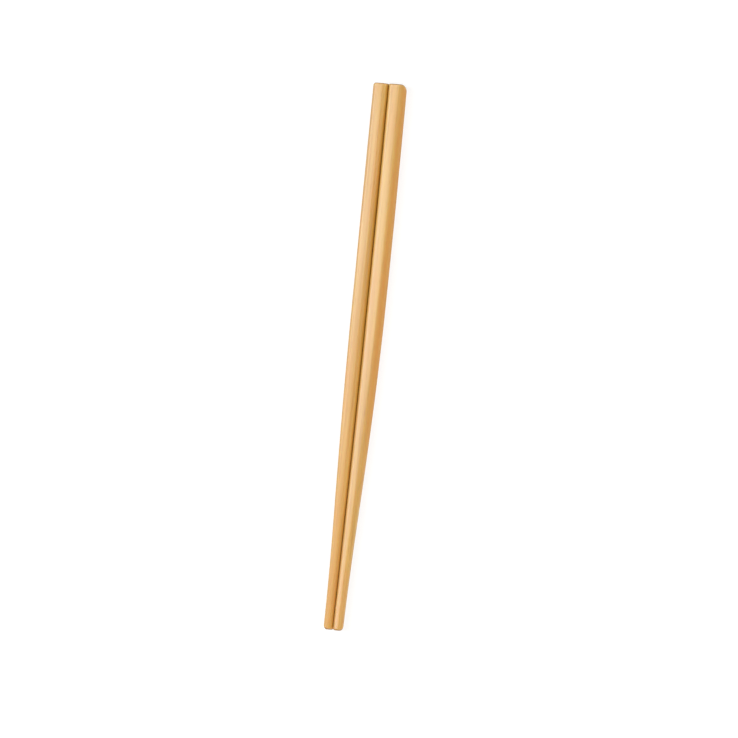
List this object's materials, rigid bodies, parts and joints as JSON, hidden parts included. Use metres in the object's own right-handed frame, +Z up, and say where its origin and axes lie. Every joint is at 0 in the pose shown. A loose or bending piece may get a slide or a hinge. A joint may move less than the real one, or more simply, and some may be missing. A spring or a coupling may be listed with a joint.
{
  "type": "pair of bamboo chopsticks",
  "caption": "Bamboo chopsticks lying side by side: straight rounded-square handles that ease into slim, nearly round tips, for picking up food.",
  "frame": {"origin": "on the resting plane, below the middle of the pair", "axes": "+X across the pair from the left stick to the right one, +Y along the sticks from the tips to the butts, +Z up"},
  "size_m": [0.014, 0.23, 0.0069],
  "materials": {
    "bamboo": "sanded smooth, satin"
  },
  "bodies": {
    "root": {"left_chopstick": "bamboo", "right_chopstick": "bamboo"}
  },
  "joints": []
}
